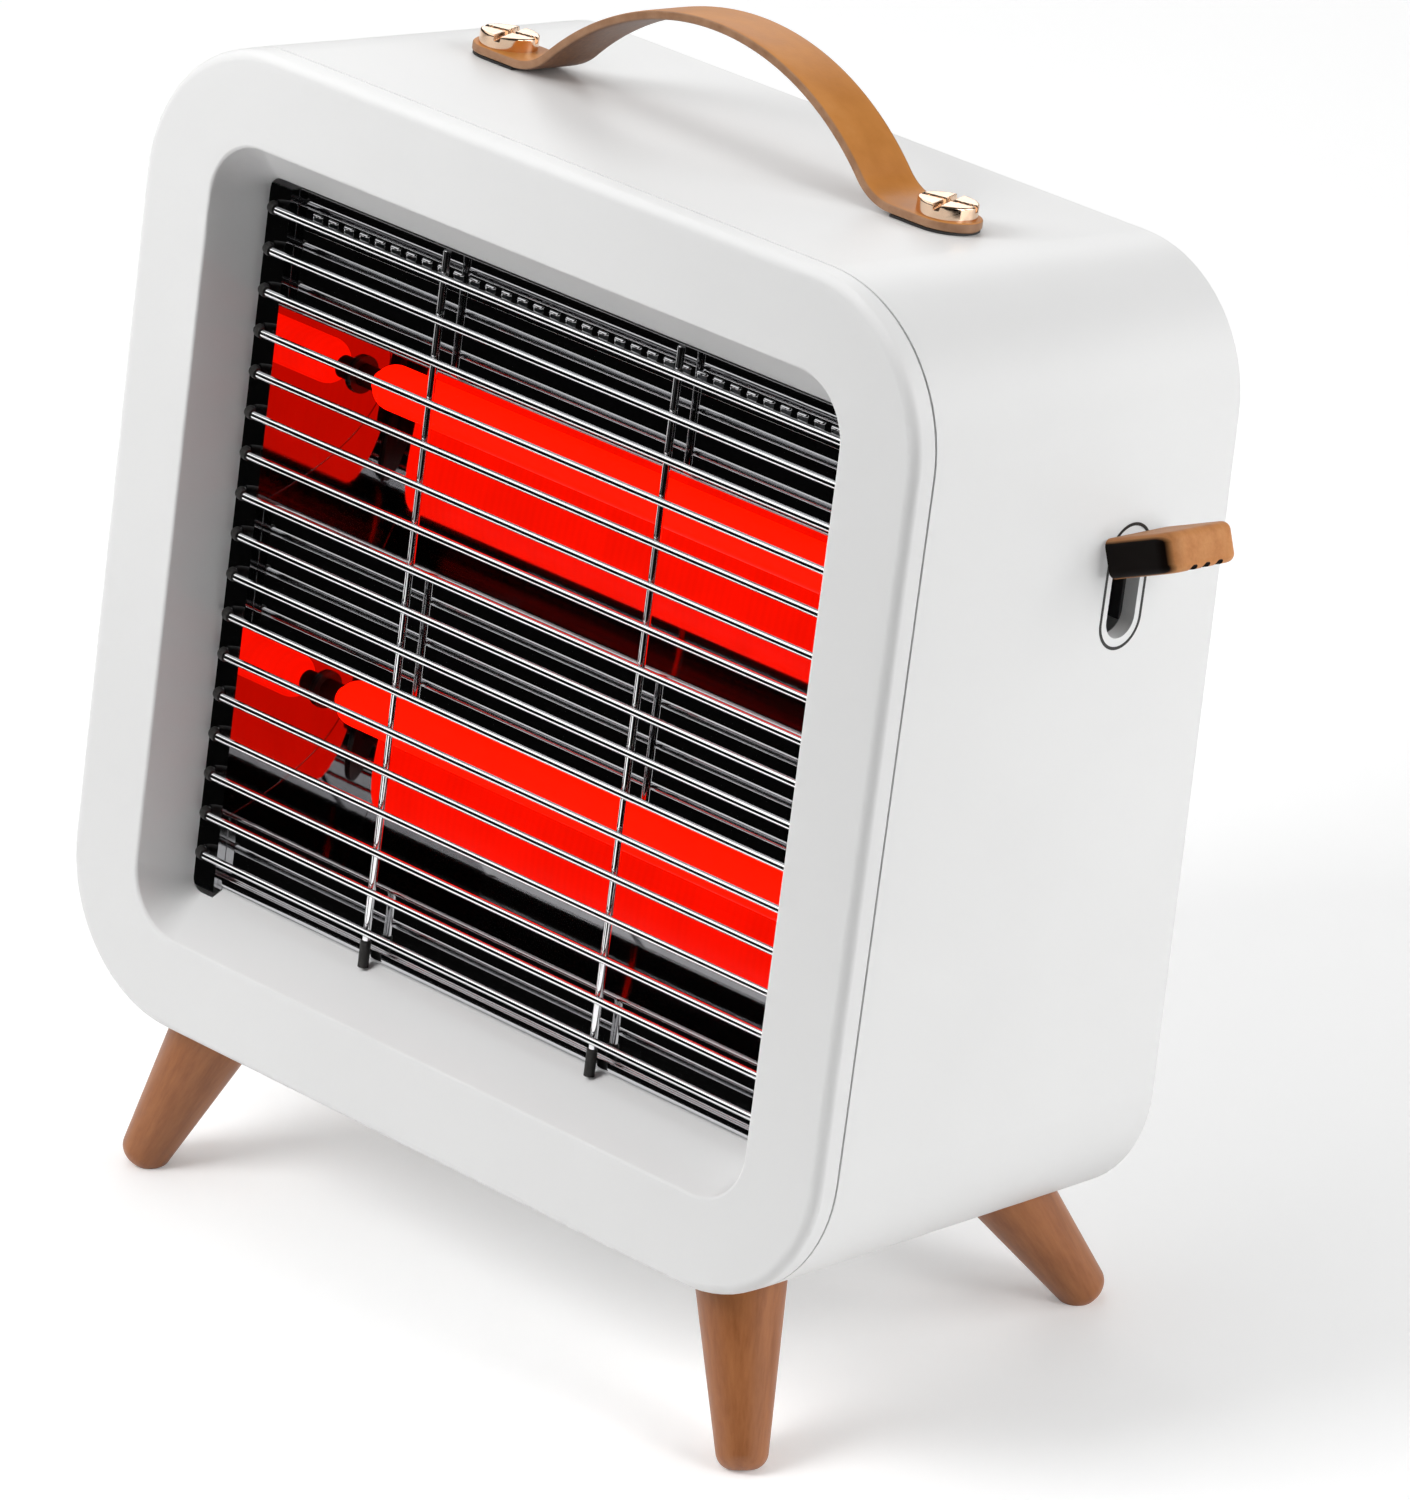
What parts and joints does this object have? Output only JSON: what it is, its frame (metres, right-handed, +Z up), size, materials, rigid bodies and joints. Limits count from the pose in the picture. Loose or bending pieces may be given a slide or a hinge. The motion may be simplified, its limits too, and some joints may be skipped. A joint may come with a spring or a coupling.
{
  "type": "infrared heater",
  "caption": "Portable radiant room heater: a white rounded box leaning back on turned wooden legs, red quartz tubes behind a wire guard, leather carrying strap and side lever.",
  "frame": {"origin": "on the floor at the middle of the four feet", "axes": "+Z up, the mouth faces -Y, +X to the right seen from the front, where the lever is"},
  "size_m": [0.2908, 0.1596, 0.3223],
  "materials": {
    "white_plastic": "satin white moulded plastic",
    "white_plastic_rear": "satin white moulded plastic",
    "zinc_steel": "zinc plated",
    "chrome_wire": "polished",
    "dark_rubber": "matt black",
    "polished_sheet": "polished",
    "galvanised_sheet": "galvanised",
    "glowing_quartz": "glowing red",
    "glowing_core": "glowing red",
    "steatite": "dark glazed",
    "brass_tab": "plain",
    "glass_braid": "woven",
    "wood_lever": "copper brown, semi-gloss",
    "wood_leg": "copper brown, semi-gloss",
    "black_plastic": "matt black",
    "tan_leather": "smooth tan with burnished edges",
    "brass_screw": "polished"
  },
  "bodies": {
    "case": {"bezel_screws": "zinc_steel", "body_shell": "white_plastic", "carrying_strap": "tan_leather", "cord_gland": "dark_rubber", "front_bezel": "white_plastic", "guard_cross_wires": "chrome_wire", "guard_ferrules": "dark_rubber", "guard_upright_wires": "chrome_wire", "leg_front_left": "wood_leg", "leg_front_right": "wood_leg", "leg_nuts": "zinc_steel", "leg_rear_left": "wood_leg", "leg_rear_right": "wood_leg", "leg_saddles": "black_plastic", "leg_studs": "zinc_steel", "lever_pivot_pin": "zinc_steel", "lever_slot_plate": "white_plastic", "lower_heating_core": "glowing_core", "lower_quartz_tube": "glowing_quartz", "rear_cover": "white_plastic_rear", "rear_cover_screws": "zinc_steel", "rear_heat_shield": "galvanised_sheet", "reflector": "polished_sheet", "reflector_end_plate_left": "polished_sheet", "reflector_end_plate_right": "polished_sheet", "reflector_screws": "zinc_steel", "selector_switch": "black_plastic", "strap_nuts": "zinc_steel", "strap_pads": "dark_rubber", "strap_screws": "brass_screw", "switch_terminals": "brass_tab", "terminal_block": "black_plastic", "thermal_cutout": "black_plastic", "tilt_micro_switch": "black_plastic", "tilt_switch_bracket": "black_plastic", "tilt_switch_pin": "zinc_steel", "tube_holders_left": "steatite", "tube_holders_right": "steatite", "tube_lead_left": "glass_braid", "tube_lead_right": "glass_braid", "tube_terminals": "brass_tab", "upper_heating_core": "glowing_core", "upper_quartz_tube": "glowing_quartz"},
    "lever": {"selector_lever": "wood_lever"},
    "pendulum": {"tilt_switch_pendulum": "brass_tab"}
  },
  "joints": [
    {"name": "lever_tilt", "type": "hinge", "parent": "case", "child": "lever", "pos_m": [0.112, 0.0461, 0.21076], "axis": [0, 0.986, -0.1668], "range_deg": [0, 44]},
    {"name": "pendulum_swing", "type": "hinge", "parent": "case", "child": "pendulum", "pos_m": [0, 0.0376, 0.07173], "axis": [1, 0, 0], "range_deg": [-20, 20]}
  ]
}
